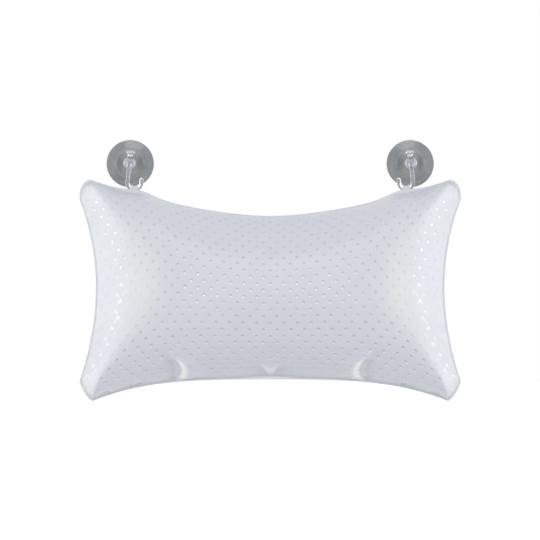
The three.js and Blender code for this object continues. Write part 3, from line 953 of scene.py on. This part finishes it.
def back_height(x, y):
    """Height in the cushion frame at which the back panel, just under the top weld, has swollen to y."""
    v = np.linspace(BACK_SEARCH_FROM, 1, BACK_SEARCH_STEPS)
    u = x / half_width(v)
    _, z = drawn_in(*seam_outline(u, v), FLANGE_WIDTH)
    depth = SEAM_Y + SHEET + BACK_DEPTH * swell(u, v)
    return np.interp(-y, -depth, z)


def strap(name, side, material):
    """Short flat strap: up behind the flange, over the hook's bend, and down to its end on the back panel.
    Its crown follows the bend's circle across the strap and a half ellipse over it."""
    front = ROD_RADIUS + STRAP_ROOM + BEND_RADIUS - math.sqrt(BEND_RADIUS**2 - STRAP_WIDTH**2 / 4)
    back = ROD_RADIUS + STRAP_ROOM
    across = np.linspace(-STRAP_WIDTH / 2, STRAP_WIDTH / 2, STRAP_COLUMNS)
    saddle = BEND_RADIUS - np.sqrt((BEND_RADIUS - ROD_RADIUS) ** 2 - across**2) + STRAP_LIFT
    centre = side * LOOP_X

    def face(offset):
        """Points of the strap at an offset outwards from its inner face."""
        low = back_height(centre, -front - offset) + FIT
        high = back_height(centre, back + offset) + FIT
        rise = np.linspace(low, 0, STRAP_END_ROWS, endpoint=False)[:, None] + 0 * across
        arch = np.linspace(0, np.pi, STRAP_ARCH_ROWS)[:, None]
        fall = np.linspace(0, high, STRAP_END_ROWS)[1:, None] + 0 * across
        arch_y = (back - front) / 2 - ((back + front) / 2 + offset) * np.cos(arch)
        y = np.concatenate([0 * rise - front - offset, arch_y + 0 * across, 0 * fall + back + offset])
        z = np.concatenate([rise, (saddle + offset) * np.sin(arch), fall])
        return to_frame(np.stack([centre + across + 0 * y, y, z], axis=-1))

    return shell_between(name, face(SHEET), face(0.0), material)


def filling_block(name, front, back, material):
    """Loose block inside the covers: both panels' grids moved in by FILLING_DEPTH, or less where the room is
    small, and ended short of the weld."""
    inner = (slice(FILLING_INSET, -FILLING_INSET), slice(FILLING_INSET, -FILLING_INSET))
    room = np.linalg.norm(front - back, axis=-1, keepdims=True)
    depth = FILLING_DEPTH * np.clip(room / (FILLING_TAPER * FILLING_DEPTH), 0, 1)
    near = (front - grid_normals(front, FRONT) * depth)[inner]
    far = (back - grid_normals(back, BACK) * depth)[inner]
    return shell_between(name, near, far, material)


def make_patches():
    """Node group of the finishes' unevenness: noise on Object coordinates, mapped to a range."""
    group = bpy.data.node_groups.new(PATCH_GROUP, "ShaderNodeTree")
    for name in PATCH_INPUTS:
        group.interface.new_socket(name, in_out="INPUT", socket_type="NodeSocketFloat")
    group.interface.new_socket("Value", in_out="OUTPUT", socket_type="NodeSocketFloat")
    taken = group.nodes.new("NodeGroupInput")
    given = group.nodes.new("NodeGroupOutput")
    place = group.nodes.new("ShaderNodeTexCoord")
    noise = group.nodes.new("ShaderNodeTexNoise")
    mapped = group.nodes.new("ShaderNodeMapRange")
    group.links.new(place.outputs["Object"], noise.inputs["Vector"])
    group.links.new(noise.outputs["Fac"], mapped.inputs["Value"])
    for name in PATCH_INPUTS:
        node = mapped if name in RANGE_INPUTS else noise
        group.links.new(taken.outputs[name], node.inputs[name])
    group.links.new(mapped.outputs["Result"], given.inputs["Value"])


def patches(tree, scale, detail, noise=(0, 1), to=(0, 1)):
    """The group of uneven patches in a material, with the noise's range mapped to a range of values."""
    node = tree.nodes.new("ShaderNodeGroup")
    node.node_tree = bpy.data.node_groups[PATCH_GROUP]
    for name, value in zip(PATCH_INPUTS, (scale, detail, *noise, *to)):
        node.inputs[name].default_value = value
    return node.outputs["Value"]


def principled(name, colour, settings):
    """New node material with its Principled shader's plain colour and other inputs set."""
    material = bpy.data.materials.new(name)
    material.use_nodes = True
    shader = material.node_tree.nodes["Principled BSDF"]
    shader.inputs["Base Color"].default_value = (*colour, 1)
    for socket, value in settings.items():
        shader.inputs[socket].default_value = value
    return material, shader


def place_parts(tree):
    """Outputs of the three Object coordinates, by their letters."""
    parts = tree.nodes.new("ShaderNodeSeparateXYZ")
    tree.links.new(tree.nodes.new("ShaderNodeTexCoord").outputs["Object"], parts.inputs[0])
    return parts.outputs


def marked(tree, name):
    """Output of one of the mesh's own attributes."""
    node = tree.nodes.new("ShaderNodeAttribute")
    node.attribute_name = name
    return node.outputs["Fac"]


def ranged(tree, value, span, most=1):
    """Mask of a value: 0 up to the start of its span, and most from the span's end on."""
    node = tree.nodes.new("ShaderNodeMapRange")
    for name, number in zip(RANGE_INPUTS, (*span, 0, most)):
        node.inputs[name].default_value = number
    tree.links.new(value, node.inputs["Value"])
    return node.outputs["Result"]


def sums(tree, operation, first, second=None):
    """Output of a math node on one or two values, each a number or an output."""
    node = tree.nodes.new("ShaderNodeMath")
    node.operation = operation
    for socket, value in zip(node.inputs, (first, second)):
        if isinstance(value, (int, float)):
            socket.default_value = value
        elif value is not None:
            tree.links.new(value, socket)
    return node.outputs[0]


def mixed(tree, share, first, second):
    """Colour between two, each a colour or an output; a Mix node takes colours at inputs 6 and 7."""
    node = tree.nodes.new("ShaderNodeMix")
    node.data_type = "RGBA"
    tree.links.new(share, node.inputs[0])
    for socket, colour in ((node.inputs[6], first), (node.inputs[7], second)):
        if isinstance(colour, tuple):
            socket.default_value = (*colour, 1)
        else:
            tree.links.new(colour, socket)
    return node.outputs[2]


def bumped(tree, shader, height, strength, distance):
    """Bump of the height on the shader's normal."""
    bump = tree.nodes.new("ShaderNodeBump")
    bump.inputs["Strength"].default_value = strength
    bump.inputs["Distance"].default_value = distance
    tree.links.new(height, bump.inputs["Height"])
    tree.links.new(bump.outputs["Normal"], shader.inputs["Normal"])


def make_vinyl():
    """Satin white vinyl: tints in soft clouds, painted light before the ridges, a fine grain, painted light
    and shade on pits and folds from the mesh's marks, and squiggles of painted shade in the crinkled places."""
    material, shader = principled("white_vinyl", VINYL_COOL, VINYL_SHADER)
    tree = material.node_tree
    pit_painted_shading = marked(tree, "pit_painted_shading")
    painted_shading = marked(tree, "painted_shading")
    pit_glint = ranged(tree, pit_painted_shading, (0, 1))
    clouds = patches(tree, scale=16, detail=2, noise=(0.35, 0.65))
    blush = patches(tree, scale=27, detail=1, noise=(0.5, 0.75), to=(0, VINYL_BLUSH_MOST))
    tint = mixed(tree, blush, mixed(tree, clouds, VINYL_COOL, VINYL_WARM), VINYL_BLUSH)
    # Painted light before the ridges
    tint = mixed(tree, marked(tree, "painted_glow"), tint, VINYL_PAINTED_GLOW)
    # Painted glints on the pits' floors and painted shade on their walls
    tint = mixed(tree, pit_glint, tint, PIT_PAINTED_GLINT)
    tint = mixed(tree, ranged(tree, pit_painted_shading, (0, -1)), tint, PIT_PAINTED_SHADE)
    # Painted light and shade of the folds, ears, weld and flange
    tint = mixed(tree, ranged(tree, painted_shading, (0, 1)), tint, VINYL_PAINTED_LIGHT)
    tint = mixed(tree, ranged(tree, painted_shading, (0, -1)), tint, VINYL_PAINTED_SHADE)
    # Squiggles of painted shade in the crinkled places
    wandering = sums(tree, "ABSOLUTE", sums(tree, "SUBTRACT", patches(tree, scale=330, detail=2), 0.5))
    squiggle = sums(tree, "MULTIPLY", ranged(tree, wandering, CRINKLE_LINE), marked(tree, "crinkle"))
    tint = mixed(tree, ranged(tree, squiggle, CRINKLE_MASK), tint, CRINKLE_PAINTED_SHADE)
    tree.links.new(tint, shader.inputs["Base Color"])
    grain = patches(tree, scale=60, detail=2, noise=(0.3, 0.7), to=VINYL_ROUGHNESS)
    polish = ranged(tree, pit_painted_shading, (0, 1), PIT_POLISH)
    tree.links.new(sums(tree, "SUBTRACT", grain, polish), shader.inputs["Roughness"])
    fold_gleam = ranged(tree, painted_shading, (FOLD_GLEAM_FROM, 1), FOLD_GLEAM)
    tree.links.new(sums(tree, "MAXIMUM", pit_glint, fold_gleam), shader.inputs["Coat Weight"])
    bumped(tree, shader, patches(tree, scale=1400, detail=3), strength=0.12, distance=0.0002)
    return material


def cup_painted_tint(tree, place, beside, outward):
    """Colour of a cup: painted grey with paler patches, painted light up the middle and on the outer lip, and
    painted shade in a sector on each side of the knob."""
    uneven = patches(tree, scale=70, detail=2, noise=(0.35, 0.65), to=(0, CUP_UNEVEN))
    # Random paler patches, with painted light up the middle
    middle = sums(tree, "MAXIMUM", uneven, ranged(tree, beside, CUP_MIDDLE))
    tint = mixed(tree, middle, CUP_PAINTED_GREY, CUP_PATCHES_AND_PAINTED_LIGHT)
    # Painted shade in a sector beside the knob, at low heights
    sector_start = ranged(tree, beside, CUP_SECTOR_START)
    sector = sums(tree, "MULTIPLY", sector_start, ranged(tree, beside, CUP_SECTOR_END))
    level = ranged(tree, sums(tree, "ABSOLUTE", place["Z"]), CUP_SECTOR_LEVEL)
    tint = mixed(tree, sums(tree, "MULTIPLY", sector, level), tint, CUP_PAINTED_SHADE)
    # Painted light on the outer lip
    return mixed(tree, ranged(tree, outward, CUP_OUTER_START), tint, CUP_LIP_PAINTED_LIGHT)


def knob_painted_streaks(tree, place, beside, outward):
    """Mask of the painted streaks of light on a knob: the lower sides of the leaning hole, and the knob's
    own edge.
    """
    lean = sums(tree, "MULTIPLY", place["Z"], math.tan(HOOK_LEAN))
    from_hole = sums(tree, "ABSOLUTE", sums(tree, "ADD", outward, lean))
    from_line = sums(tree, "ABSOLUTE", sums(tree, "SUBTRACT", from_hole, ROD_RADIUS))
    line = ranged(tree, from_line, KNOB_LINE)
    line = sums(tree, "MULTIPLY", line, ranged(tree, place["Z"], KNOB_LINE_LEVEL))
    return sums(tree, "MAXIMUM", line, ranged(tree, beside, KNOB_EDGE, KNOB_EDGE_PAINTED_STREAK))


def make_soft_clear():
    """See-through soft vinyl of the cups, painted grey for the dim surroundings seen through it; the thick
    knob away from the wall has painted light, with painted streaks where the shank's hole and its own edge
    gather the light."""
    material, shader = principled("soft_clear_vinyl", CUP_PAINTED_GREY, CUP_SHADER)
    tree = material.node_tree
    place = place_parts(tree)
    outward = sums(tree, "SUBTRACT", sums(tree, "ABSOLUTE", place["X"]), CUP_SPACING / 2)
    beside = sums(tree, "ABSOLUTE", outward)
    knob = ranged(tree, place["Y"], KNOB_START)
    # Painted light on the knob, with painted streaks of light
    painted_streaks = knob_painted_streaks(tree, place, beside, outward)
    painted_light = mixed(tree, painted_streaks, KNOB_PAINTED_LIGHT, KNOB_PAINTED_STREAK)
    tint = mixed(tree, knob, cup_painted_tint(tree, place, beside, outward), painted_light)
    tree.links.new(tint, shader.inputs["Base Color"])
    tree.links.new(sums(tree, "MULTIPLY", painted_streaks, knob), shader.inputs["Coat Weight"])
    polish = patches(tree, scale=260, detail=2, noise=(0.3, 0.7), to=CUP_ROUGHNESS)
    duller = sums(tree, "MULTIPLY", knob, KNOB_DULLER)
    tree.links.new(sums(tree, "ADD", polish, duller), shader.inputs["Roughness"])
    return material


def make_hard_clear():
    """Clear hard plastic of the hooks, polished with a few duller spots, and a head with painted light and an
    uneven, sparkling skin."""
    material, shader = principled("clear_plastic", HOOK_CLEAR, HOOK_SHADER)
    tree = material.node_tree
    head = ranged(tree, place_parts(tree)["Z"], HEAD_START)
    cloudy = patches(tree, scale=180, detail=2, noise=(0.35, 0.7))
    # Painted light on the head
    tint = mixed(tree, head, mixed(tree, cloudy, HOOK_CLEAR, HOOK_CLOUDY), HEAD_PAINTED_LIGHT)
    tree.links.new(tint, shader.inputs["Base Color"])
    tree.links.new(head, shader.inputs["Coat Weight"])
    polish = patches(tree, scale=420, detail=3, noise=(0.35, 0.75), to=HOOK_ROUGHNESS)
    duller = sums(tree, "MULTIPLY", head, HEAD_DULLER)
    tree.links.new(sums(tree, "ADD", polish, duller), shader.inputs["Roughness"])
    uneven = sums(tree, "MULTIPLY", patches(tree, scale=700, detail=1), head)
    bumped(tree, shader, uneven, strength=1.0, distance=0.0012)
    return material


def make_fibre():
    """Loose white fibre of the filling: pale and darker tufts with a deep, fine roughness."""
    material, shader = principled("filling_fibre", FIBRE_PALE, FIBRE_SHADER)
    tree = material.node_tree
    tufts = patches(tree, scale=150, detail=6, noise=(0.35, 0.65))
    tree.links.new(mixed(tree, tufts, FIBRE_DEEP, FIBRE_PALE), shader.inputs["Base Color"])
    dullness = patches(tree, scale=150, detail=6, noise=(0.3, 0.7), to=FIBRE_ROUGHNESS)
    tree.links.new(dullness, shader.inputs["Roughness"])
    bumped(tree, shader, patches(tree, scale=520, detail=8), strength=0.7, distance=0.002)
    return material


def seen_rays(tree, strength):
    """Output that is strength for rays from the camera, from a mirror or through glass, and 0 for others."""
    path = tree.nodes.new("ShaderNodeLightPath")
    seen = sums(tree, "MAXIMUM", path.outputs["Is Camera Ray"], path.outputs["Is Glossy Ray"])
    seen = sums(tree, "MAXIMUM", seen, path.outputs["Is Transmission Ray"])
    return sums(tree, "MULTIPLY", seen, strength)


def make_floor():
    """Pale floor well below the part, white to the camera."""
    reach = FLOOR_REACH
    sides = ((-reach, -reach), (reach, -reach), (reach, reach), (-reach, reach))
    mesh = bpy.data.meshes.new("floor")
    mesh.from_pydata([(x, y, FLOOR_HEIGHT) for x, y in sides], [], [(0, 1, 2, 3)])
    floor = bpy.data.objects.new("floor", mesh)
    bpy.context.scene.collection.objects.link(floor)
    material, shader = principled("floor_white", FLOOR_PAINT, FLOOR_SHADER)
    tree = material.node_tree
    tree.links.new(seen_rays(tree, FLOOR_GLOW), shader.inputs["Emission Strength"])
    mesh.materials.append(material)


def make_world():
    """Even studio world that lights the part, and is plain white where it is seen."""
    world = bpy.data.worlds.new("studio")
    bpy.context.scene.world = world
    world.use_nodes = True
    tree = world.node_tree
    shade = tree.nodes["Background"]
    shade.inputs["Color"].default_value = WORLD_COLOUR
    shade.inputs["Strength"].default_value = WORLD_STRENGTH
    seen = tree.nodes.new("ShaderNodeBackground")
    seen.inputs["Color"].default_value = (1, 1, 1, 1)
    seen.inputs["Strength"].default_value = 1.0
    mix = tree.nodes.new("ShaderNodeMixShader")
    tree.links.new(seen_rays(tree, 1.0), mix.inputs["Fac"])
    tree.links.new(shade.outputs[0], mix.inputs[1])
    tree.links.new(seen.outputs[0], mix.inputs[2])
    tree.links.new(mix.outputs[0], tree.nodes["World Output"].inputs["Surface"])


def make_camera():
    """Straight front view with the photo's middle at the same place of the wall's plane."""
    data = bpy.data.cameras.new("camera")
    data.sensor_width = SENSOR
    data.lens = SENSOR * CAMERA_DISTANCE / (PHOTO_SIDE * PIXEL)
    camera = bpy.data.objects.new("camera", data)
    x = (PHOTO_SIDE / 2 - PHOTO_MIDDLE_X) * PIXEL
    z = (PHOTO_CUP_Y - PHOTO_SIDE / 2) * PIXEL
    camera.location = (x, -CAMERA_DISTANCE, z)
    camera.rotation_euler = (math.pi / 2, 0, 0)
    bpy.context.scene.collection.objects.link(camera)
    bpy.context.scene.camera = camera


def area_light(name, place, size, watts, colour):
    """Square softbox at place, facing the middle of the cushion."""
    data = bpy.data.lights.new(name, "AREA")
    data.size = size
    data.energy = watts
    data.color = colour
    lamp = bpy.data.objects.new(name, data)
    lamp.location = place
    lamp.rotation_euler = (Vector(LIGHT_TARGET) - Vector(place)).to_track_quat("-Z", "Y").to_euler()
    bpy.context.scene.collection.objects.link(lamp)


def make_cushion(vinyl):
    """Covers and filling, stuffed by the simulation."""
    u = spread(SIM_COLUMNS)[None, :]
    v = spread(SIM_ROWS)[:, None]
    front = panel(FRONT, u, v)
    back = panel(BACK, u, v)
    front, back = simulate(front, back)
    made = [
        (cover("embossed_front", FRONT, front, vinyl), "front_cover", "white_vinyl"),
        (cover("embossed_back", BACK, back, vinyl), "back_cover", "white_vinyl"),
        (filling_block("fibre_block", front, back, make_fibre()), "filling", "fibre"),
    ]
    for piece, node, slot in made:
        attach(piece, "pillow")
        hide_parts(node)


def make_hanger(side, word, vinyl, soft_clear, hard_clear):
    """Strap, suction cup and hook of one side."""
    loop = strap(f"strap_{word}", side, vinyl)
    cup = suction_cup(f"cup_{word}", side, soft_clear)
    j_hook = hook(f"j_hook_{word}", side, hard_clear)
    made = [
        (loop, "pillow", f"hanging_loop_{word}", "white_vinyl"),
        (cup, "suction_cups", f"suction_cup_{word}", "soft_clear_vinyl"),
        (j_hook, f"hook_{word}", f"hook_{word}", "clear_plastic"),
    ]
    for piece, body, node, slot in made:
        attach(piece, body)
        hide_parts(node)


def main():
    """Camera, stage and light, then the finishes and the pieces."""
    bpy.context.scene.view_settings.view_transform = "Standard"
    make_camera()
    make_floor()
    make_world()
    for softbox in SOFTBOXES:
        area_light(*softbox)
    make_patches()
    vinyl = make_vinyl()
    soft_clear = make_soft_clear()
    hard_clear = make_hard_clear()
    make_cushion(vinyl)
    for side, word in ((-1, "left"), (1, "right")):
        make_hanger(side, word, vinyl, soft_clear, hard_clear)


main()
